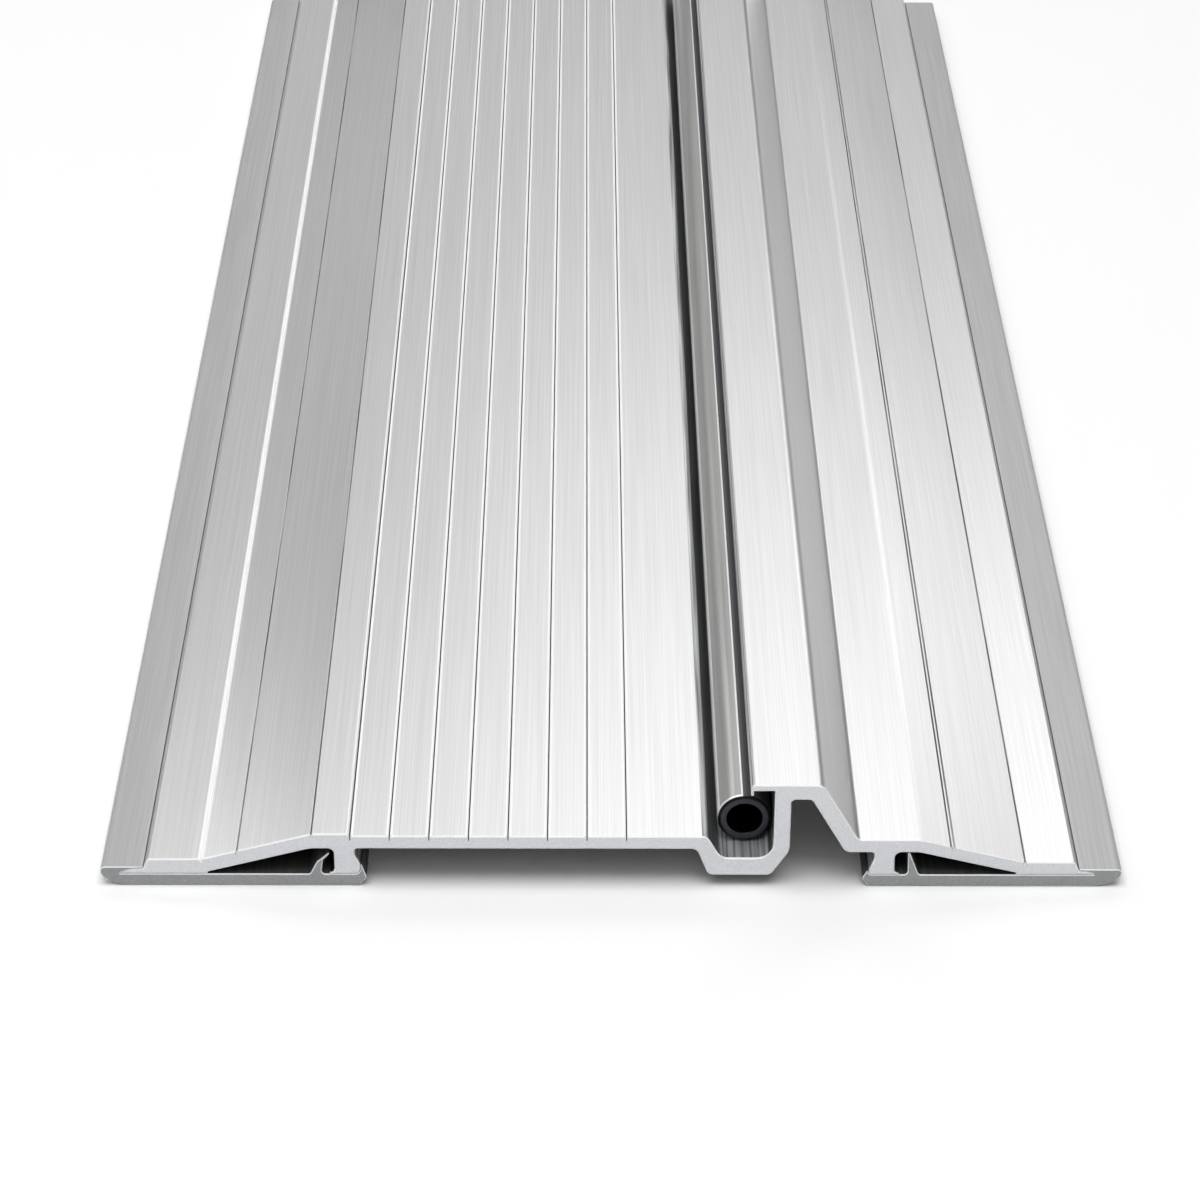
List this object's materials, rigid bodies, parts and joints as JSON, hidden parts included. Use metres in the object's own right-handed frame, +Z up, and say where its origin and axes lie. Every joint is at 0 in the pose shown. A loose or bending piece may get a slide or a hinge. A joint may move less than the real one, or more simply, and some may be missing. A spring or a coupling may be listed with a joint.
{
  "type": "door threshold",
  "caption": "Low aluminium saddle threshold with a treaded deck, ramped sides on clip-on base strips, and a hooked upstand that holds a round tube seal in a channel.",
  "frame": {"origin": "middle of the underside, on the floor, at half the width and half the length", "axes": "+X across the threshold towards the upstand's side, +Y along its length, +Z up from the floor"},
  "size_m": [0.15, 0.335, 0.018],
  "materials": {
    "saddle_aluminium": "satin brushed along its length",
    "strip_vinyl": "grey extruded vinyl with fine die lines",
    "seal_rubber": "black rubber with a smooth grey skin"
  },
  "bodies": {
    "root": {"saddle_extrusion": "saddle_aluminium", "left_base_strip": "strip_vinyl", "right_base_strip": "strip_vinyl", "tube_seal": "seal_rubber"}
  },
  "joints": []
}
